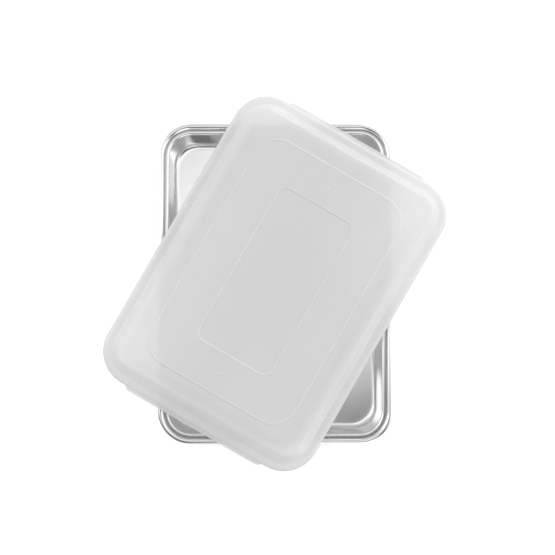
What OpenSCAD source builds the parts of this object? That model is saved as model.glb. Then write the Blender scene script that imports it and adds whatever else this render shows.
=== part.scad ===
// Quarter-size sheet pan with a translucent snap-on lid, the lid lying askew on the rim.
// Millimetres, +Z up. The origin is the centre of the pan's underside; the long sides run along Y.

/* [Pan] */
// Width over the rolled rim, along X
pan_w = 241.3; // [200:0.1:340]
// Length over the rolled rim, along Y
pan_l = 330.2; // [240:0.1:460]
// Height from the underside to the top of the rim
pan_h = 25.4; // [20:0.1:40]
// Corner radius of the rim's outer edge
pan_corner_r = 34; // [30:0.5:50]
// Thickness of the aluminium sheet
sheet_t = 0.9; // [0.6:0.1:1.2]
// Diameter of the wire inside the rolled rim
wire_d = 4; // [3.6:0.1:4.4]
// Height of the rim's top above the flat ledge
ledge_drop = 3.2; // [2.9:0.1:3.5]
// Distance from the outer edge to where the wall leaves the ledge
wall_top_inset = 10; // [9.5:0.1:11]
// Distance from the outer edge to where the wall's line meets the floor's
floor_inset = 13.5; // [12.5:0.1:16]
// Bend radius of the cove between wall and floor
cove_r = 4; // [3:0.1:5]

/* [Lid] */
// Angle that the lid lies at, about the vertical
lid_angle = -30; // [-90:1:90]
// Gap left between the resting lid and the rim
lid_gap = 0.3; // [0.3:0.1:1]
// Distance that the lid stands out past the pan's outer edge
lid_overhang = 1.15; // [1.1:0.05:1.6]
// Corner radius of the lid's outline
lid_corner_r = 37; // [36:0.5:48]
// Thickness of the moulding
lid_t = 0.9; // [0.7:0.1:1]
// Height of the skirt, from its lower edge to the shoulder's top
skirt_h = 8; // [7.5:0.1:10]
// Distance from the outline to the foot of the raised wall
shoulder_inset = 10.4; // [9:0.1:11.5]
// Distance from the outline to the ridge at the top of the raised wall
ridge_inset = 21; // [18:0.1:23]
// Height of the ridge above the skirt's lower edge
ridge_h = 20.4; // [19.6:0.1:21.6]
// Height of the panel above the skirt's lower edge
panel_h = 21.8; // [21.4:0.1:22.8]
// How far the middle band of the panel is raised
band_rise = 0.5; // [0.3:0.1:0.6]

/* [Panel lines] */
// Distance from the outline to the outer raised line
outer_line_inset = 41; // [40:0.5:44]
// Corner radius of the outer raised line
outer_line_r = 25; // [15:0.5:30]
// Distance from the outline to the inner raised line
inner_line_inset = 80.3; // [70:0.1:85]
// Corner radius of the inner raised line
inner_line_r = 10; // [6:0.5:15]
// Width of a raised line
line_w = 2.8; // [2:0.1:3.2]
// Height of a raised line above the band
line_h = 0.5; // [0.3:0.1:0.6]

/* [Pull tabs] */
// Length of a tab where it joins the skirt
tab_base_l = 164; // [100:1:166]
// Length of a tab at its outer edge
tab_tip_l = 154; // [90:1:156]
// Distance that a tab stands out from the skirt
tab_out = 4; // [3:0.1:8]
// Thickness of a tab
tab_t = 1.2; // [1:0.1:2]

/* [Hidden] */
$fn = 96;

// straight steps that make up each bend of a sheet's section
bend_steps = 6;

// room between the wire and the sheet rolled round it
wire_gap = 0.1;
curl_r = wire_d / 2 + wire_gap + sheet_t;
curl_z = pan_h - curl_r;
// the roll is left open between the ledge and the sheet's free edge, in degrees below the horizontal
curl_open_from = 36;
curl_open_to = 78;

ledge_z = pan_h - ledge_drop - sheet_t / 2;
ledge_start = 2 * curl_r - sheet_t / 2;
wall_bend_r = 1.6;

lid_w = pan_w + 2 * lid_overhang;
lid_l = pan_l + 2 * lid_overhang;
skirt_draft = 0.3;
shoulder_bend_r = 5;
wall_foot_bend_r = 1.6;
ridge_bend_r = 2.4;
panel_start = 33;
panel_bend_r = 24;
snap_r = 0.6;
snap_stand = 0.45;
snap_z = 0.9;
gate_d = 2.8;
gate_h = 0.25;
gate_inset = 62;

// Direction of travel from one point to the next, in degrees
function heading(a, b) = atan2(b[1] - a[1], b[0] - a[0]);

// Turn between two directions, from -180 to 180
function turn(a, b) = let (d = b - a) d > 180 ? d - 360 : d < -180 ? d + 360 : d;

// A point at a distance along a direction
function along(p, angle, d) = p + d * [cos(angle), sin(angle)];

// Points of one bend, at corner p from heading a to heading b, on a curve offset to the left of the path
function bend_points(p, a, b, r, offset) =
    let (angle = turn(a, b), side = sign(angle), centre_at = along(p, a, -r * tan(abs(angle) / 2)),
         centre = along(centre_at, a + 90 * side, r))
    [for (i = [0 : bend_steps]) along(centre, a - 90 * side + angle * i / bend_steps, r - side * offset)];

// One side of a bent sheet: a curve offset to the left of the path through pts, with a bend at each corner
function sheet_side(pts, radii, offset) =
    let (last = len(pts) - 1)
    concat([along(pts[0], heading(pts[0], pts[1]) + 90, offset)],
           [for (i = [1 : last - 1]) each bend_points(pts[i], heading(pts[i - 1], pts[i]),
                                                      heading(pts[i], pts[i + 1]), radii[i - 1], offset)],
           [along(pts[last], heading(pts[last - 1], pts[last]) + 90, offset)]);

function reversed(list) = [for (i = [len(list) - 1 : -1 : 0]) list[i]];

// Section through a sheet of thickness t bent along pts, with the given middle radii at its corners
module bent_sheet(pts, radii, t) {
    polygon(concat(sheet_side(pts, radii, t / 2), reversed(sheet_side(pts, radii, -t / 2))));
}

// Sweep a section round a rounded rectangle: x = 0 is the outer edge, and the section lies at x <= 0
module around(w, l, r) {
    for (k = [0 : 3]) {
        half = (k % 2 == 0 ? w : l) / 2;
        run = (k % 2 == 0 ? l : w) - 2 * r;
        rotate(90 * k) {
            translate([half, run / 2, 0])
                rotate([90, 0, 0])
                    linear_extrude(run)
                        children();
            translate([half - r, run / 2, 0])
                rotate_extrude(angle = 90)
                    translate([r, 0])
                        children();
        }
    }
}

// Flat plate with rounded corners, its underside at z = 0
module rounded_plate(w, l, r, h) {
    around(w, l, r)
        translate([-r, 0])
            square([r, h]);
    translate([r - w / 2, r - l / 2, 0])
        cube([w - 2 * r, l - 2 * r, h]);
}

// Section of the sheet rolled round the wire
module curl_section() {
    reach = 2 * curl_r;
    translate([-curl_r, curl_z])
        difference() {
            circle(r = curl_r);
            circle(r = curl_r - sheet_t);
            polygon([[0, 0], reach * [-cos(curl_open_from), -sin(curl_open_from)],
                     reach * [-1, -1], reach * [-cos(curl_open_to), -sin(curl_open_to)]]);
        }
}

module pan_shell() {
    floor_z = sheet_t / 2;
    path = [[-ledge_start, ledge_z], [-wall_top_inset, ledge_z], [-floor_inset, floor_z],
            [-pan_corner_r, floor_z]];
    color("silver") {
        around(pan_w, pan_l, pan_corner_r) {
            curl_section();
            bent_sheet(path, [wall_bend_r, cove_r], sheet_t);
        }
        translate([0, 0, sheet_t / 2])
            cube([pan_w - 2 * pan_corner_r, pan_l - 2 * pan_corner_r, sheet_t], center = true);
    }
}

module rim_wire() {
    color("lightslategray")
        around(pan_w, pan_l, pan_corner_r)
            translate([-curl_r, curl_z])
                circle(d = wire_d);
}

// Section of the lid from the skirt's lower edge to the flat panel
module lid_section() {
    shoulder_z = skirt_h - lid_t / 2;
    panel_z = panel_h - lid_t / 2;
    path = [[-lid_t / 2, 0], [-lid_t / 2 - skirt_draft, shoulder_z], [-shoulder_inset, shoulder_z],
            [-ridge_inset, ridge_h - lid_t / 2], [-panel_start, panel_z], [-lid_corner_r, panel_z]];
    bent_sheet(path, [shoulder_bend_r, wall_foot_bend_r, ridge_bend_r, panel_bend_r], lid_t);
    translate([-lid_t - snap_stand + snap_r, snap_z])
        circle(r = snap_r);
}

// Raised line that follows a rounded rectangle
module panel_line(inset, r) {
    around(lid_w - 2 * inset + line_w, lid_l - 2 * inset + line_w, r + line_w / 2)
        translate([-line_w, panel_h - lid_t / 2])
            square([line_w, lid_t / 2 + band_rise + line_h]);
}

// Panel inside the swept section, with a raised band between its two raised lines
module lid_panel() {
    translate([lid_corner_r - lid_w / 2, lid_corner_r - lid_l / 2, panel_h - lid_t])
        cube([lid_w - 2 * lid_corner_r, lid_l - 2 * lid_corner_r, lid_t]);
    translate([0, 0, panel_h - lid_t / 2])
        difference() {
            rounded_plate(lid_w - 2 * outer_line_inset, lid_l - 2 * outer_line_inset, outer_line_r,
                          lid_t / 2 + band_rise);
            translate([0, 0, -lid_t])
                rounded_plate(lid_w - 2 * inner_line_inset, lid_l - 2 * inner_line_inset, inner_line_r,
                              3 * lid_t);
        }
    panel_line(outer_line_inset, outer_line_r);
    panel_line(inner_line_inset, inner_line_r);
}

// Small round marks left by the mould's gates, on the lid's long axis
module gate_marks() {
    for (y = [-1, 1])
        translate([0, y * (lid_l / 2 - gate_inset), panel_h + band_rise - lid_t / 2])
            cylinder(d = gate_d, h = lid_t / 2 + gate_h);
}

// Pull tabs at the skirt's lower edge, one on each short side
module pull_tabs() {
    for (k = [0, 1])
        rotate(180 * k)
            translate([0, lid_l / 2 - lid_t / 2, 0])
                linear_extrude(tab_t)
                    polygon([[-tab_base_l / 2, 0], [tab_base_l / 2, 0],
                             [tab_tip_l / 2, tab_out + lid_t / 2], [-tab_tip_l / 2, tab_out + lid_t / 2]]);
}

module lid() {
    color([0.88, 0.88, 0.86, 0.8])
        translate([0, 0, pan_h + lid_gap])
            rotate(lid_angle) {
                around(lid_w, lid_l, lid_corner_r)
                    lid_section();
                lid_panel();
                gate_marks();
                pull_tabs();
            }
}

pan_shell();
rim_wire();
lid();
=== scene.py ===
"""Looks for a sheet pan and its translucent lid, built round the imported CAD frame.

The scene is in metres, in the frame's axes. Section sizes are in millimetres, and MM turns them into metres.
A section is drawn with x = 0 on the outline, x below 0 inside it, and z up. An inset is a distance inward
from the outline, so it is -x.
"""

import math
from collections import namedtuple

import bmesh
import bpy
from mathutils import Matrix, Vector


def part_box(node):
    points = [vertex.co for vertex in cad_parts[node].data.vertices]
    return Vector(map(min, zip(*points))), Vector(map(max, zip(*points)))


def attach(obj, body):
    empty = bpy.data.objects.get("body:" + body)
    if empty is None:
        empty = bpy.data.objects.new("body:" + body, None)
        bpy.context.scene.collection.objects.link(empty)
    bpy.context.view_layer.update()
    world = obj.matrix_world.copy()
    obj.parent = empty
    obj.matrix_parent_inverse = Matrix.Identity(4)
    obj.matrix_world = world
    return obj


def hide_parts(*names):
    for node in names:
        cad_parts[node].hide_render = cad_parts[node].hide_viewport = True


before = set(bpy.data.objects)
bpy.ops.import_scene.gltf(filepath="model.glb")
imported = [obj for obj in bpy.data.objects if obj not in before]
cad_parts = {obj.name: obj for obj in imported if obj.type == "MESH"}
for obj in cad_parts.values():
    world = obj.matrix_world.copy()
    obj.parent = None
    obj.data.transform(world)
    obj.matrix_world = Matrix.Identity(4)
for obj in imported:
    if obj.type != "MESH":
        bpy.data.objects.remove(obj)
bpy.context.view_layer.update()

MM = 0.001
pan_low, pan_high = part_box("pan_shell")
lid_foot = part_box("lid")[0].z

# pan, in millimetres
PAN_W = (pan_high.x - pan_low.x) / MM
PAN_L = (pan_high.y - pan_low.y) / MM
PAN_H = (pan_high.z - pan_low.z) / MM
PAN_CORNER_R = 34
SHEET_T = 0.9
CURL_R = 3
CURL_OPEN = 78
CREASE_R = 0.6
# painted shade in the crease between the roll and the ledge: its inset and reach
CREASE_SHADE_INSET = 6.2
CREASE_SHADE_REACH = 0.8
LEDGE_DROP = 3.2
WALL_TOP_INSET = 10
WALL_TOP_R = 1.6
FLOOR_INSET = 13.5
COVE_R = 4
FLOOR_CORNER_R = 24
FLOOR_CROWN = 0.3
FLOOR_RINGS = (30, 45, 60, 75, 90)

# lid, in millimetres
LID_ANGLE = -30
LID_OVERHANG = 1.15
LID_W = PAN_W + 2 * LID_OVERHANG
LID_L = PAN_L + 2 * LID_OVERHANG
LID_CORNER_R = 37
LID_T = 0.9
SKIRT_H = 8
SKIRT_DRAFT = 0.3
SHOULDER_R = 5
WALL_FOOT_INSET = 10.4
WALL_FOOT_R = 1.6
RIDGE_INSET = 21
RIDGE_H = 20.4
RIDGE_R = 2.4
RIDGE_CORNER_R = 14
PANEL_START = 33
PANEL_R = 24
PANEL_H = 21.8
BAND_RISE = 0.5
LINE_W = 2.8
LINE_H = 0.5
OUTER_LINE_INSET = 41
OUTER_LINE_R = 25
INNER_LINE_INSET = 80.3
INNER_LINE_R = 10
TAB_OUT = 4
TAB_TIP = 75.5
TAB_BASE = 82
TAB_STEPS = (81, 79.7, 78.4, 77.1, 76.2)
TAB_EDGE_Z = 1.1
SNAP_R = 0.6
SNAP_STAND = 0.45
SNAP_Z = 0.9
GATE_R = 1.4
GATE_H = 0.25
GATE_INSET = 62
# milkiness of the lid's skirt, shoulder and wall and of its raised lines, partly the plastic's own and partly
# a painted highlight
EDGE_MILK_AND_HIGHLIGHT = 0.6
LINE_MILK_AND_HIGHLIGHT = 0.5

# fineness of the meshes, and the slack in millimetres for telling which points lie on a side
CORNER_STEPS = 20
BEND_STEPS = 6
SIDE_STEPS = 14
DISC_STEPS = 24
ON_SIDE = 0.001


# ---------------------------------------------------------------- sections

def right_of(direction):
    return Vector((direction.y, -direction.x)).normalized()


def arc(centre, radius, start, end, steps):
    """Stations round an arc, in degrees. A station is a point and the normal to the right of travel."""
    side = 1 if end > start else -1
    stations = []
    for i in range(steps + 1):
        angle = math.radians(start + (end - start) * i / steps)
        out = Vector((math.cos(angle), math.sin(angle)))
        stations.append((centre + radius * out, side * out))
    return stations


def bent(points, radii):
    """Stations along straight runs, with a bend at each inner point."""
    points = [Vector(p) for p in points]
    stations = [(points[0], right_of(points[1] - points[0]))]
    for before, corner, after, radius in zip(points, points[1:], points[2:], radii):
        run = (corner - before).normalized()
        leave = (after - corner).normalized()
        turn = math.atan2(run.x * leave.y - run.y * leave.x, run.dot(leave))
        side = math.copysign(1, turn)
        start = corner - run * radius * math.tan(abs(turn) / 2)
        centre = start - right_of(run) * radius * side
        for i in range(BEND_STEPS + 1):
            normal = Matrix.Rotation(turn * i / BEND_STEPS, 2) @ right_of(run)
            stations.append((centre + normal * radius * side, normal))
    stations.append((points[-1], right_of(points[-1] - points[-2])))
    return stations


def blend_value(value, low, high, at_low, at_high):
    share = min(1.0, max(0.0, (value - low) / (high - low)))
    return at_low + (at_high - at_low) * share


def smooth(share):
    share = min(1.0, max(0.0, share))
    return share * share * (3 - 2 * share)


# one line of a lofted surface: place in the section, corner radius, reach of the pull tab, and tone.
# Tone runs from 0 to 1. On the pan it is how much shade is painted into the crease, and on the lid how milky
# the plastic looks, partly its own milkiness and partly a painted highlight
Row = namedtuple("Row", "x z radius tab tone", defaults=(0, 0))


def none_at(inset):
    return 0


def side_rows(stations, offset, radius_at, rise=none_at, tone=none_at):
    """Rows of a surface that lies at an offset to the right of the stations."""
    rows = []
    for point, normal in stations:
        inset = -point.x
        x = point.x + normal.x * offset
        z = point.y + normal.y * offset + rise(inset)
        rows.append(Row(x, z, radius_at(inset) + normal.x * offset, 0, tone(inset)))
    return rows


# ---------------------------------------------------------------- meshes

def tab_share(u):
    """How far out the pull tab stands at u millimetres from the middle of a short side, from 0 to 1."""
    return smooth((TAB_BASE - abs(u)) / (TAB_BASE - TAB_TIP))


def side_shares(marks):
    """Places along a straight side as shares of its half length, from 1 to -1 and without its ends."""
    inner = [marks[-1] * (1 - 2 * i / SIDE_STEPS) for i in range(SIDE_STEPS + 1)]
    return marks[:-1] + inner + [-m for m in reversed(marks[:-1])]


def ring_points(width, length, row, marks):
    """Points of one row's rounded rectangle, anticlockwise from the end of the +X side."""
    half_w, half_l = width / 2 + row.x, length / 2 + row.x
    radius = min(row.radius, 0.92 * half_w)
    points = []
    for corner in range(4):
        sx = 1 if corner in (0, 3) else -1
        sy = 1 if corner in (0, 1) else -1
        centre = Vector((sx * (half_w - radius), sy * (half_l - radius)))
        for i in range(CORNER_STEPS + 1):
            angle = math.radians(90 * (corner + i / CORNER_STEPS))
            points.append(centre + radius * Vector((math.cos(angle), math.sin(angle))))
        for share in side_shares(marks):
            if corner % 2 == 0:
                points.append(Vector((sx * share * (half_w - radius), sy * half_l)))
            else:
                points.append(Vector((sx * half_w, sy * share * (half_l - radius))))
    if row.tab:
        for p in points:
            if abs(p.y) > half_l - ON_SIDE:
                p.y += math.copysign(row.tab * tab_share(p.x), p.y)
    return [Vector((p.x, p.y, row.z)) for p in points]


def loft(bm, width, length, rows, marks=(0.94,)):
    """Closed surface through the rows, with a flat face inside the first and the last."""
    marks = list(marks)
    tone = bm.verts.layers.float.get("tone") or bm.verts.layers.float.new("tone")
    rings = []
    for row in rows:
        ring = [bm.verts.new(p) for p in ring_points(width, length, row, marks)]
        for vert in ring:
            vert[tone] = row.tone
        rings.append(ring)
    count = len(rings[0])
    for ring, following in zip(rings, rings[1:]):
        for i in range(count):
            j = (i + 1) % count
            bm.faces.new((ring[i], ring[j], following[j], following[i]))
    bm.faces.new(rings[0])
    bm.faces.new(list(reversed(rings[-1])))


def disc(bm, centre, rows):
    """Small closed turned form about a vertical axis; a row is (radius, height)."""
    tone = bm.verts.layers.float.get("tone")
    turn = [2 * math.pi * i / DISC_STEPS for i in range(DISC_STEPS)]
    rings = []
    for radius, z in rows:
        ring = [bm.verts.new(centre + Vector((radius * math.cos(a), radius * math.sin(a), z))) for a in turn]
        for vert in ring:
            # the gates take the raised lines' tone: milkiness and painted highlight
            vert[tone] = LINE_MILK_AND_HIGHLIGHT
        rings.append(ring)
    for ring, following in zip(rings, rings[1:]):
        for i in range(DISC_STEPS):
            j = (i + 1) % DISC_STEPS
            bm.faces.new((ring[i], ring[j], following[j], following[i]))
    bm.faces.new(rings[0])
    bm.faces.new(list(reversed(rings[-1])))


def finish_mesh(bm, name, material, place=Matrix()):
    """Turns a mesh in millimetres into an object in metres, with smooth bends and true flats."""
    bmesh.ops.transform(bm, matrix=place @ Matrix.Scale(MM, 4), verts=bm.verts)
    bmesh.ops.recalc_face_normals(bm, faces=bm.faces)
    mesh = bpy.data.meshes.new(name)
    bm.to_mesh(mesh)
    bm.free()
    mesh.shade_smooth()
    mesh.materials.append(material)
    piece = bpy.data.objects.new(name, mesh)
    bpy.context.scene.collection.objects.link(piece)
    normals = piece.modifiers.new("normals", "WEIGHTED_NORMAL")
    normals.weight = 60
    normals.keep_sharp = True
    return piece


# ---------------------------------------------------------------- pan

def pan_radius(inset):
    """Corner radius at an inset: one centre as far as the wall's top, wider than that down to the floor."""
    if inset < WALL_TOP_INSET:
        return PAN_CORNER_R - inset
    return blend_value(inset, WALL_TOP_INSET, FLOOR_INSET, PAN_CORNER_R - WALL_TOP_INSET, FLOOR_CORNER_R)


def pan_floor_crown(inset):
    return FLOOR_CROWN * smooth((inset - FLOOR_INSET - 6) / 70)


def pan_crease_shade(inset):
    """Share of painted shade in the crease between the roll and the ledge, guessed from a dark line in the
    photo.
    """
    return 1 - smooth(abs(inset - CREASE_SHADE_INSET) / CREASE_SHADE_REACH)


def make_pan_shell(material):
    wire_centre = Vector((-CURL_R, PAN_H - CURL_R))
    mid_r = CURL_R - SHEET_T / 2
    ledge_z = PAN_H - LEDGE_DROP - SHEET_T / 2
    crease_z = ledge_z + CREASE_R
    crease_drop = crease_z - wire_centre.y
    crease_reach = math.sqrt((mid_r + CREASE_R) ** 2 - crease_drop ** 2)
    crease_centre = Vector((wire_centre.x - crease_reach, crease_z))
    lean = math.degrees(math.atan2(-crease_drop, crease_reach))
    curl = arc(wire_centre, mid_r, CURL_OPEN - 180, 180 + lean, 30)
    crease = arc(crease_centre, CREASE_R, lean, -90, BEND_STEPS)
    floor_z = SHEET_T / 2
    wall = bent([(crease_centre.x - 0.3, ledge_z), (-WALL_TOP_INSET, ledge_z), (-FLOOR_INSET, floor_z),
                 (-FLOOR_INSET - 5, floor_z)], [WALL_TOP_R, COVE_R])
    half = PAN_W / 2
    floor = [(Vector((-inset, floor_z)), Vector((0, 1))) for inset in (*FLOOR_RINGS, half - 12)]
    stations = curl + crease + wall + floor
    start, normal = stations[0]
    back = Vector((normal.y, -normal.x))
    edge = []
    for i in range(1, 4):
        angle = math.pi * i / 4
        p = start + SHEET_T / 2 * (-math.cos(angle) * normal + math.sin(angle) * back)
        edge.append(Row(p.x, p.y, PAN_CORNER_R + p.x))
    under = side_rows(stations, -SHEET_T / 2, pan_radius, pan_floor_crown)
    # the top surface carries the crease's painted shade as its tone
    top = side_rows(stations, SHEET_T / 2, pan_radius, pan_floor_crown, pan_crease_shade)
    bm = bmesh.new()
    loft(bm, PAN_W, PAN_L, under[::-1] + edge + top)
    return finish_mesh(bm, "pan_shell_formed", material)


# ---------------------------------------------------------------- lid

def lid_radius(inset):
    """Corner radius at an inset: one centre out to the wall's foot, tighter at the ridge, then the lines'."""
    if inset < WALL_FOOT_INSET:
        return LID_CORNER_R - inset
    if inset < RIDGE_INSET:
        foot_r = LID_CORNER_R - WALL_FOOT_INSET
        return blend_value(inset, WALL_FOOT_INSET, RIDGE_INSET, foot_r, RIDGE_CORNER_R)
    if inset < PANEL_START:
        return blend_value(inset, RIDGE_INSET, PANEL_START, RIDGE_CORNER_R, RIDGE_CORNER_R - 1)
    edge = OUTER_LINE_INSET - LINE_W
    if inset < edge:
        return blend_value(inset, PANEL_START, edge, RIDGE_CORNER_R - 1, OUTER_LINE_R + LINE_W)
    edge = OUTER_LINE_INSET + LINE_W
    if inset < edge:
        return OUTER_LINE_R + OUTER_LINE_INSET - inset
    if inset < INNER_LINE_INSET - LINE_W:
        inner_edge = INNER_LINE_INSET - LINE_W
        return blend_value(inset, edge, inner_edge, OUTER_LINE_R - LINE_W, INNER_LINE_R + LINE_W)
    return max(4, INNER_LINE_R + INNER_LINE_INSET - inset)


def lid_line(inset):
    """Share of a raised line's height at an inset."""
    away = min(abs(inset - OUTER_LINE_INSET), abs(inset - INNER_LINE_INSET)) / (LINE_W / 2)
    return (1 + math.cos(math.pi * away)) / 2 if away < 1 else 0


def lid_milk_and_highlight(inset):
    """How milky the plastic looks, partly its own milkiness and partly a painted highlight: most on the
    skirt, shoulder and wall, and some on the raised lines.
    """
    return max(LINE_MILK_AND_HIGHLIGHT * lid_line(inset), EDGE_MILK_AND_HIGHLIGHT * (1 - smooth((inset - RIDGE_INSET) / 6)))


def lid_rise(inset):
    """Height that the band and the two raised lines add to the panel's top."""
    height = LINE_H * lid_line(inset) - BAND_RISE
    for line_inset, into_band in ((OUTER_LINE_INSET, 1), (INNER_LINE_INSET, -1)):
        across = (inset - line_inset) / (LINE_W / 2)
        height += BAND_RISE * smooth((1 + into_band * across) / 2)
    return height


def make_lid(material):
    shoulder_z = SKIRT_H - LID_T / 2
    panel_z = PANEL_H - LID_T / 2
    foot_z = TAB_EDGE_Z + 0.4
    path = [(-LID_T / 2, foot_z), (-LID_T / 2 - SKIRT_DRAFT, shoulder_z), (-WALL_FOOT_INSET, shoulder_z),
            (-RIDGE_INSET, RIDGE_H - LID_T / 2), (-PANEL_START, panel_z), (-PANEL_START - 4, panel_z)]
    stations = bent(path, [SHOULDER_R, WALL_FOOT_R, RIDGE_R, PANEL_R])
    line_steps = [LINE_W / 2 * i / 4 for i in range(-4, 5)]
    half = LID_W / 2
    insets = [OUTER_LINE_INSET + d for d in line_steps] + [50, 60, 70]
    insets += [INNER_LINE_INSET + d for d in line_steps] + [92, 104, half - 9]
    stations += [(Vector((-inset, panel_z)), Vector((0, 1))) for inset in insets]

    under = side_rows(stations, -LID_T / 2, lid_radius, tone=lid_milk_and_highlight)
    top = side_rows(stations, LID_T / 2, lid_radius, lid_rise, lid_milk_and_highlight)
    snap_x = SNAP_R - SNAP_STAND - LID_T
    snap_angle = math.degrees(math.acos((LID_T + snap_x) / SNAP_R))
    bead = arc(Vector((snap_x, SNAP_Z)), SNAP_R, 180 - snap_angle, 180 + snap_angle, 8)
    edge = [Row(p.x, p.y, LID_CORNER_R + p.x, 0, EDGE_MILK_AND_HIGHLIGHT) for p, _ in bead]
    foot = [(-LID_T + 0.15, 0.05, 0), (-LID_T + 0.35, 0, 0)]
    for x, z in ((-0.25, 0), (-0.06, 0.08), (0, 0.28), (0, TAB_EDGE_Z - 0.25), (-0.06, TAB_EDGE_Z - 0.08),
                 (-0.2, TAB_EDGE_Z)):
        foot.append((x, z, TAB_OUT))
    foot.append((0, foot_z - 0.15, 0))
    edge += [Row(x, z, LID_CORNER_R + x, tab, EDGE_MILK_AND_HIGHLIGHT) for x, z, tab in foot]

    straight = LID_W / 2 - LID_CORNER_R
    marks = [u / straight for u in (TAB_BASE, *TAB_STEPS, TAB_TIP)]
    bm = bmesh.new()
    loft(bm, LID_W, LID_L, under[::-1] + edge + top, marks)
    for side in (-1, 1):
        centre = Vector((0, side * (LID_L / 2 - GATE_INSET), PANEL_H + BAND_RISE))
        disc(bm, centre, [(GATE_R, -0.3), (GATE_R, 0.6 * GATE_H), (0.9 * GATE_R, 0.9 * GATE_H),
                          (0.7 * GATE_R, GATE_H)])
    place = Matrix.Translation((0, 0, lid_foot)) @ Matrix.Rotation(math.radians(LID_ANGLE), 4, "Z")
    return finish_mesh(bm, "lid_moulded", material, place)


# ---------------------------------------------------------------- materials

class Graph:
    """A node tree, written one node at a time."""

    def __init__(self, tree):
        self.tree = tree
        tree.nodes.clear()

    def add(self, kind, inputs=None, **settings):
        node = self.tree.nodes.new("ShaderNode" + kind)
        for name, value in settings.items():
            setattr(node, name, value)
        for name, value in (inputs or {}).items():
            if isinstance(value, bpy.types.NodeSocket):
                self.tree.links.new(value, node.inputs[name])
            else:
                node.inputs[name].default_value = value
        return node

    def noise(self, coords, scale, detail=3.0, roughness=0.5):
        """Noise with its own scale along each axis, in features per metre."""
        mapped = self.add("Mapping", {"Vector": coords, "Scale": scale})
        return self.add("TexNoise", {"Vector": mapped.outputs[0], "Scale": 1.0, "Detail": detail,
                                     "Roughness": roughness}).outputs["Fac"]

    def remap(self, value, low, high, start=0.3, end=0.7):
        """value from start to end, turned smoothly into low to high."""
        return self.add("MapRange", {"Value": value, "From Min": start, "From Max": end, "To Min": low,
                                     "To Max": high}, interpolation_type="SMOOTHSTEP").outputs[0]

    def math(self, operation, a, b=0.0):
        return self.add("Math", {0: a, 1: b}, operation=operation).outputs[0]

    def tint(self, share, *colours):
        """Mix of two colours, each three numbers or a socket."""
        a, b = (c if isinstance(c, bpy.types.NodeSocket) else (*c, 1) for c in colours)
        return self.add("Mix", {"Factor": share, 6: a, 7: b}, data_type="RGBA").outputs[2]

    def bump(self, height, distance, strength=1.0, normal=None):
        inputs = {"Height": height, "Distance": distance, "Strength": strength}
        if normal:
            inputs["Normal"] = normal
        return self.add("Bump", inputs).outputs[0]


def new_graph(name):
    material = bpy.data.materials.new(name)
    material.use_nodes = True
    return material, Graph(material.node_tree)


def aluminium():
    """Mill-finish sheet: rolling grain on flats, drawing marks up walls, scuffs, and painted shade in the
    crease.
    """
    material, g = new_graph("drawn_aluminium")
    coords = g.add("TexCoord").outputs["Object"]
    crease_shade = g.add("Attribute", attribute_name="tone").outputs["Fac"]
    normal = g.add("NewGeometry").outputs["Normal"]
    up = g.math("ABSOLUTE", g.add("SeparateXYZ", {0: normal}).outputs["Z"])
    flat = g.remap(up, 0.0, 1.0, 0.6, 0.95)
    grain = g.noise(coords, (1400, 24, 40), 4, 0.6)
    draw = g.noise(coords, (420, 420, 9), 4, 0.6)
    streak = g.add("Mix", {"Factor": flat, 2: draw, 3: grain}).outputs[0]
    cloud = g.noise(coords, (22, 16, 22), 3, 0.55)
    smudge = g.noise(coords, (75, 60, 75), 4, 0.6)
    scuff = g.noise(coords, (260, 900, 260), 2, 0.5)

    colour = g.tint(g.remap(cloud, 0, 1), (0.84, 0.843, 0.848), (0.88, 0.882, 0.885))
    # painted shade: the metal darkens toward near-black in the crease between the roll and the ledge
    colour = g.tint(g.math("MULTIPLY", crease_shade, 0.85), colour, (0.12, 0.12, 0.12))
    rough = g.math("ADD", g.remap(cloud, 0.15, 0.18), g.remap(streak, -0.02, 0.03))
    rough = g.math("ADD", rough, g.remap(smudge, 0.0, 0.03, 0.5, 0.75))
    rough = g.math("ADD", rough, g.remap(scuff, 0.0, 0.03, 0.62, 0.8))
    rough = g.math("ADD", rough, g.math("MULTIPLY", crease_shade, 0.2))
    height = g.math("ADD", streak, g.math("MULTIPLY", scuff, 0.2))
    bumped = g.bump(height, 0.0000015, 0.4)
    shader = g.add("BsdfPrincipled", {"Base Color": colour, "Metallic": 1.0, "Roughness": rough,
                                      "Normal": bumped})
    g.add("OutputMaterial", {"Surface": shader.outputs[0]})
    return material


def galvanised_steel():
    """Dull zinc-coated wire with a faint crystal pattern."""
    material, g = new_graph("galvanised_wire")
    coords = g.add("TexCoord").outputs["Object"]
    crystal = g.add("TexVoronoi", {"Vector": coords, "Scale": 420.0}).outputs["Distance"]
    grime = g.noise(coords, (160, 160, 160), 4, 0.6)
    colour = g.tint(g.remap(crystal, 0, 1, 0.1, 0.6), (0.42, 0.43, 0.44), (0.58, 0.59, 0.6))
    rough = g.math("ADD", g.remap(grime, 0.36, 0.52), g.remap(crystal, 0.0, 0.06, 0.1, 0.6))
    bumped = g.bump(grime, 0.00003, 0.5)
    shader = g.add("BsdfPrincipled", {"Base Color": colour, "Metallic": 1.0, "Roughness": rough,
                                      "Normal": bumped})
    g.add("OutputMaterial", {"Surface": shader.outputs[0]})
    return material


# shares of the lid's plastic that let light through: clear in the middle, toward the ends and where the
# milkiness and painted highlight are strongest, the last as a factor; and diffusing, where it is thin and
# where the milkiness and painted highlight are strongest
CLEAR_MIDDLE = 0.36
CLEAR_ENDS = 0.3
CLEAR_MILK_AND_HIGHLIGHT = 0.5
GLOW_THIN = 0.36
GLOW_MILK_AND_HIGHLIGHT = 0.3


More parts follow.
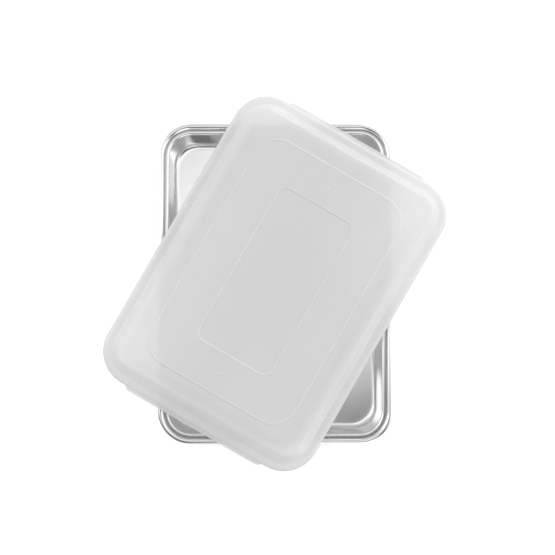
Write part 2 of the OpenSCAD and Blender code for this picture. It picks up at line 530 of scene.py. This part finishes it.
def milky_plastic():
    """Natural polypropylene: milky, softly glossy, with a fine moulded texture and faint flow marks."""
    material, g = new_graph("milky_polypropylene")
    coords = g.add("TexCoord").outputs["Object"]
    along = g.add("Mapping", {"Vector": coords, "Rotation": (0, 0, math.radians(-LID_ANGLE))}).outputs[0]
    milk_and_highlight = g.add("Attribute", attribute_name="tone").outputs["Fac"]
    stipple = g.noise(coords, (1500, 1500, 1500), 2, 0.5)
    flow = g.noise(along, (26, 9, 26), 3, 0.5)
    haze = g.noise(coords, (14, 14, 14), 2, 0.5)
    reach = g.add("VectorMath", {0: along, 1: (16, 10, 0)}, operation="MULTIPLY").outputs[0]
    reach = g.add("VectorMath", {0: reach}, operation="LENGTH").outputs["Value"]

    colour = g.tint(g.remap(reach, 0, 1, 0.2, 1.1), (0.96, 0.961, 0.959), (0.985, 0.985, 0.984))
    colour = g.tint(g.remap(haze, 0, 0.5), colour, (0.96, 0.961, 0.959))
    # partly painted highlight: the plastic turns whiter on the skirt, shoulder, wall and raised lines, partly
    # its own milkiness
    colour = g.tint(milk_and_highlight, colour, (0.985, 0.985, 0.983))
    rough = g.math("ADD", g.remap(flow, 0.22, 0.28), g.remap(stipple, 0.0, 0.05))
    bumped = g.bump(stipple, 0.000015, 0.3)
    bumped = g.bump(flow, 0.0001, 0.3, bumped)
    body = g.add("BsdfPrincipled", {"Base Color": colour, "Roughness": rough, "IOR": 1.49, "Normal": bumped,
                                      "Coat Weight": 0.4, "Coat Roughness": 0.12})
    through = g.add("BsdfTranslucent", {"Color": colour, "Normal": bumped})
    clear = g.add("BsdfTransparent", {"Color": (1, 1, 1, 1)})
    # the same tone makes these parts less clear and less diffusing, so they reflect more light, partly as a
    # painted highlight
    glow = g.remap(milk_and_highlight, GLOW_THIN, GLOW_MILK_AND_HIGHLIGHT, 0.0, 1.0)
    milky = g.add("MixShader", {0: glow, 1: body.outputs[0], 2: through.outputs[0]})
    clarity = g.remap(reach, CLEAR_MIDDLE, CLEAR_ENDS, 0.2, 1.2)
    clarity = g.math("MULTIPLY", clarity, g.remap(milk_and_highlight, 1.0, CLEAR_MILK_AND_HIGHLIGHT, 0.0, 1.0))
    shader = g.add("MixShader", {0: clarity, 1: milky.outputs[0], 2: clear.outputs[0]})
    g.add("OutputMaterial", {"Surface": shader.outputs[0]})
    return material


# ---------------------------------------------------------------- studio

CAMERA_RISE = 0.500
CAMERA_SOUTH = 0.048
CAMERA_TILT = 0.7
CAMERA_LENS = 31.65
CAMERA_SHIFT_X = 0.0043
CAMERA_SHIFT_Y = 0.084


def make_camera():
    data = bpy.data.cameras.new("camera")
    data.sensor_width = 36
    data.lens = CAMERA_LENS
    data.shift_x = CAMERA_SHIFT_X
    data.shift_y = CAMERA_SHIFT_Y
    camera = bpy.data.objects.new("camera", data)
    camera.location = (0, -CAMERA_SOUTH, pan_high.z + CAMERA_RISE)
    camera.rotation_euler = (math.radians(CAMERA_TILT), 0, 0)
    bpy.context.scene.collection.objects.link(camera)
    bpy.context.scene.camera = camera


def make_floor():
    """Large white floor, bright enough to read as plain white."""
    bm = bmesh.new()
    bmesh.ops.create_grid(bm, x_segments=8, y_segments=8, size=3.0)
    mesh = bpy.data.meshes.new("floor")
    bm.to_mesh(mesh)
    bm.free()
    floor = bpy.data.objects.new("floor", mesh)
    floor.location.z = -0.0002
    bpy.context.scene.collection.objects.link(floor)
    material, g = new_graph("white_sweep")
    paper = g.add("BsdfDiffuse", {"Color": (0.9, 0.9, 0.9, 1)})
    lift = g.add("Emission", {"Color": (1, 1, 1, 1), "Strength": 0.45})
    seen = g.add("LightPath").outputs["Is Camera Ray"]
    none = g.add("Emission", {"Strength": 0.0})
    glow = g.add("MixShader", {0: seen, 1: none.outputs[0], 2: lift.outputs[0]})
    shader = g.add("AddShader", {0: paper.outputs[0], 1: glow.outputs[0]})
    g.add("OutputMaterial", {"Surface": shader.outputs[0]})
    mesh.materials.append(material)


# soft lights on the studio's dome: azimuth from north, clockwise; elevation; half width; strength.
# They began as a program's fit to the metal's tones in the photo, and were then changed
DOME_BASE = 0.17
DOME_LIGHTS = {
    "side_west": (290, 6, 38, 2.2),
    "back_north_east": (42, 6, 42, 2.6),
    "side_east": (92, 25, 34, 1.8),
    "high_east": (68, 56, 24, 0.8),
    "front_low": (165, 22, 31, 1.8),
    "back_north": (340, 28, 48, 0.6),
    "high_west": (275, 54, 28, 1.4),
    "overhead": (10, 80, 24, 1.0),
}


def make_dome():
    world = bpy.data.worlds.new("studio")
    bpy.context.scene.world = world
    world.use_nodes = True
    g = Graph(world.node_tree)
    direction = g.add("TexCoord").outputs["Generated"]
    total = DOME_BASE
    for azimuth, elevation, spread, strength in DOME_LIGHTS.values():
        a, e = math.radians(azimuth), math.radians(elevation)
        aim = (math.sin(a) * math.cos(e), math.cos(a) * math.cos(e), math.sin(e))
        facing = g.add("VectorMath", {0: direction, 1: aim}, operation="DOT_PRODUCT").outputs["Value"]
        light = g.remap(facing, 0.0, strength, math.cos(math.radians(spread)), 1.0)
        total = g.math("ADD", light, total)
    seen = g.add("LightPath").outputs["Is Camera Ray"]
    strength = g.add("Mix", {"Factor": seen, 2: total, 3: 1.0}).outputs[0]
    shade = g.add("Background", {"Color": (1, 1, 1, 1), "Strength": strength})
    g.add("OutputWorld", {"Surface": shade.outputs[0]})


# ---------------------------------------------------------------- scene

bpy.context.scene.view_settings.view_transform = "Standard"
make_camera()
make_dome()
make_floor()

pan = make_pan_shell(aluminium())
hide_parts("pan_shell")
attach(pan, "pan")

lid = make_lid(milky_plastic())
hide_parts("lid")
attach(lid, "lid")

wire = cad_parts["rim_wire"]
wire.data.materials.clear()
wire.data.materials.append(galvanised_steel())
